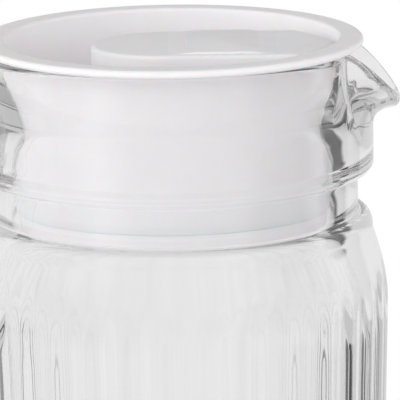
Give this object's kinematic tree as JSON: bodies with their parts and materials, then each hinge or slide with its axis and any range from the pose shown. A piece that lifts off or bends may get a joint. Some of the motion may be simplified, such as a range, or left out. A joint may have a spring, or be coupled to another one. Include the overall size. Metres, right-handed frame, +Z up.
{
  "type": "fridge pitcher",
  "caption": "Fluted clear glass fridge pitcher with a drooping spout, a glass handle and a turning white plug lid with a finger well and a pointed grip.",
  "frame": {"origin": "centre of the flat underside of the jug, on the jug's axis", "axes": "+Z up along the jug's axis, +X towards the spout, the handle at -X"},
  "size_m": [0.1458, 0.103, 0.1901],
  "materials": {
    "glass": "clear",
    "lid_plastic": "satin",
    "seal_rubber": "translucent soft"
  },
  "bodies": {
    "jug": {"jug_body": "glass", "jug_neck": "glass", "jug_spout": "glass", "jug_handle": "glass"},
    "ring": {"seal_ring": "seal_rubber"},
    "lid": {"lid_cup": "lid_plastic", "lid_grip": "lid_plastic"}
  },
  "joints": [
    {"name": "lid_lift", "type": "slide", "parent": "jug", "child": "ring", "axis": [0, 0, 1], "range_m": [0, 0.12]},
    {"name": "lid_turn", "type": "hinge", "parent": "ring", "child": "lid", "pos_m": [0, 0, 0.19], "axis": [0, 0, 1], "continuous": true}
  ]
}
